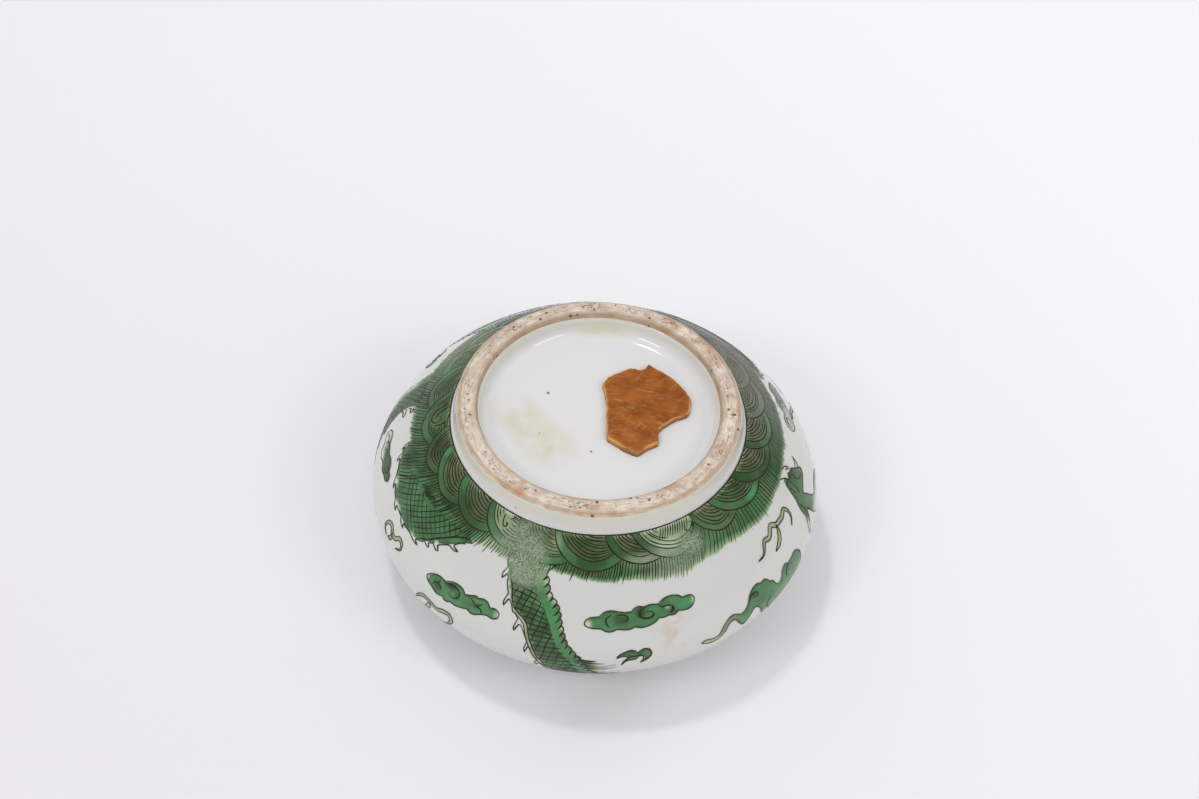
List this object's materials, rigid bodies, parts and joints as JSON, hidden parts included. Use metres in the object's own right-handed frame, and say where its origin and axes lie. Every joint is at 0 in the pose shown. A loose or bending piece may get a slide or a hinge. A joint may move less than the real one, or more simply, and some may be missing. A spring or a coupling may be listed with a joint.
{
  "type": "brush washer",
  "caption": "Low round glazed porcelain bowl with an inturned mouth and a foot ring, for rinsing writing brushes; it stands mouth down with a wax seal fragment on its base.",
  "frame": {"origin": "centre of the mouth rim's plane, which is the lowest plane because the bowl stands mouth down", "axes": "+Z runs from the mouth out through the foot ring; -Y is the side with the large dragon's body; +X is the side with the wax seal fragment. To use the bowl upright, turn it 180 degrees about X"},
  "size_m": [0.09, 0.09, 0.042],
  "materials": {
    "glazed_porcelain": "smooth clear glaze on white porcelain, faintly cool, with a few pinholes and pale stains",
    "green_enamel": "translucent green enamel over the glaze, pooled dark and thin pale, with a glassy shine and worn patches",
    "outline_enamel": "thin brown-black brush lines under and over the green",
    "bare_biscuit": "matt unglazed clay on the foot's face, buff with dark specks and a rusty edge",
    "sealing_wax": "brown sealing wax, dull and scratched, paler along its broken edges"
  },
  "bodies": {
    "root": {"porcelain_bowl": "glazed_porcelain", "wax_seal": "sealing_wax"}
  },
  "joints": []
}
